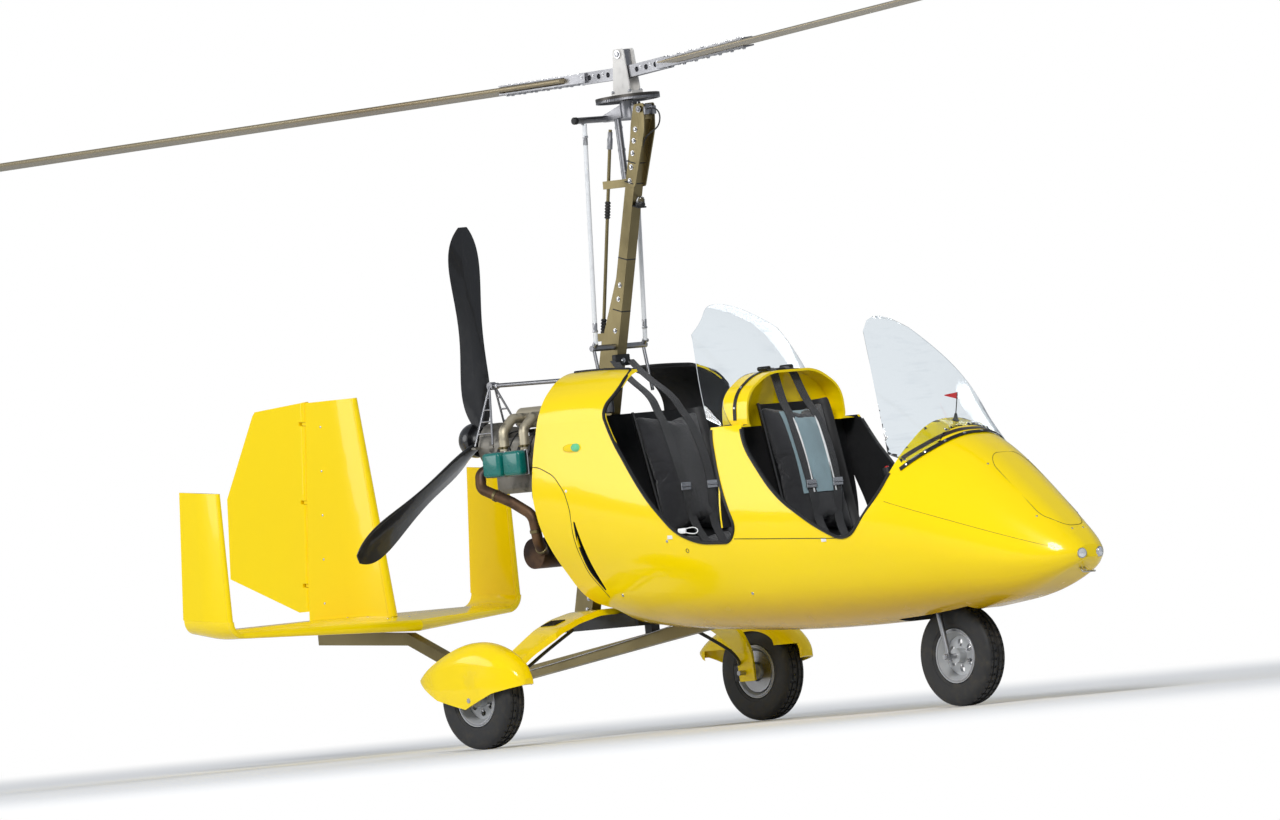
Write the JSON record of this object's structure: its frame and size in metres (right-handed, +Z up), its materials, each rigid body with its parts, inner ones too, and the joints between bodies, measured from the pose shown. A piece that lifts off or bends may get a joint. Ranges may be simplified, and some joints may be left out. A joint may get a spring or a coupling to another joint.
{
  "type": "two-seat tandem gyrocopter",
  "caption": "Open two-seat tandem gyrocopter with teetering rotor on a leaning mast, pusher propeller, sprung bow gear, twin end fins and rudder.",
  "frame": {"origin": "on the ground under the rotor hub, midway between the wheels across and between the blade tips fore and aft", "axes": "+X forward to the nose, +Y to port, +Z up; the rotor is parked fore and aft"},
  "size_m": [8.385, 1.7208, 3.0241],
  "materials": {
    "yellow_skin": "gloss gelcoat",
    "clear_screen": "clear acrylic",
    "black_seat": "woven",
    "black_panel": "matt",
    "black_metal": "satin",
    "stainless": "brushed",
    "machined_aluminium": "machined",
    "white_rod": "satin",
    "steel": "satin",
    "engine_metal": "cast",
    "green_cover": "gloss",
    "cream_pipe": "cast",
    "burnt_exhaust": "burnt",
    "tyre_rubber": "worn rubber",
    "grey_rim": "satin",
    "dark_disc": "oiled",
    "white_tower": "satin",
    "blade_skin": "satin anodised",
    "black_propeller": "satin carbon"
  },
  "bodies": {
    "airframe": {"bow_mount": "black_metal", "control_crank": "machined_aluminium", "control_sticks": "black_metal", "cowl_panel_left": "yellow_skin", "cowl_panel_right": "yellow_skin", "engine_block": "engine_metal", "engine_bracket": "machined_aluminium", "engine_mount": "black_metal", "engine_stay": "machined_aluminium", "exhaust": "burnt_exhaust", "front_panel": "black_panel", "front_seat": "black_seat", "front_windshield": "clear_screen", "gear_bow": "yellow_skin", "gearbox": "engine_metal", "hull": "yellow_skin", "intake_pipes": "cream_pipe", "keel_tube": "stainless", "main_axles": "steel", "mast": "stainless", "mast_head": "stainless", "nose_hatch": "yellow_skin", "prerotator_shaft": "stainless", "push_rods": "white_rod", "rear_panel": "black_panel", "rear_seat": "black_seat", "rear_windshield": "clear_screen", "rotor_head": "machined_aluminium", "spat_left": "yellow_skin", "spat_right": "yellow_skin", "tail_unit": "yellow_skin", "trim_cylinder": "machined_aluminium", "valve_covers": "green_cover"},
    "nose_fork": {"nose_fork": "steel"},
    "nose_wheel": {"nose_tyre": "tyre_rubber", "nose_rim": "grey_rim"},
    "main_wheel_left": {"main_tyre_left": "tyre_rubber", "main_rim_left": "grey_rim"},
    "main_wheel_right": {"main_tyre_right": "tyre_rubber", "main_rim_right": "grey_rim"},
    "rotor_hub": {"gear_disc": "dark_disc", "hub_tower": "white_tower"},
    "rotor": {"hub_bar": "machined_aluminium", "rotor_blades": "blade_skin"},
    "propeller": {"propeller_blades": "black_propeller", "spinner": "black_propeller"},
    "rudder": {"rudder": "yellow_skin"}
  },
  "joints": [
    {"name": "rudder_hinge", "type": "hinge", "parent": "airframe", "child": "rudder", "pos_m": [-2.178, 0, 0.586], "axis": [0.1007, 0, 0.9949], "range_deg": [-26, 26]},
    {"name": "nose_steer", "type": "hinge", "parent": "airframe", "child": "nose_fork", "pos_m": [1.605, 0, 0.2], "axis": [-0.1959, 0, 0.9806], "range_deg": [-20, 20]},
    {"name": "nose_wheel_spin", "type": "hinge", "parent": "nose_fork", "child": "nose_wheel", "pos_m": [1.605, 0, 0.2], "axis": [0, 1, 0], "continuous": true},
    {"name": "main_wheel_left_spin", "type": "hinge", "parent": "airframe", "child": "main_wheel_left", "pos_m": [-0.345, 0.777, 0.2], "axis": [0, 1, 0], "continuous": true},
    {"name": "main_wheel_right_spin", "type": "hinge", "parent": "airframe", "child": "main_wheel_right", "pos_m": [-0.345, -0.777, 0.2], "axis": [0, 1, 0], "continuous": true},
    {"name": "rotor_spin", "type": "hinge", "parent": "airframe", "child": "rotor_hub", "pos_m": [0, 0, 2.546], "axis": [-0.0523, 0, 0.9986], "continuous": true},
    {"name": "rotor_teeter", "type": "hinge", "parent": "rotor_hub", "child": "rotor", "pos_m": [0, 0, 2.72], "axis": [0, 1, 0], "range_deg": [-4, 4]},
    {"name": "propeller_spin", "type": "hinge", "parent": "airframe", "child": "propeller", "pos_m": [-1.035, 0, 1.24], "axis": [1, 0, 0], "continuous": true}
  ],
  "couplings": [
    {"joint": "nose_steer", "follows": "rudder_hinge", "ratio": -0.769}
  ]
}
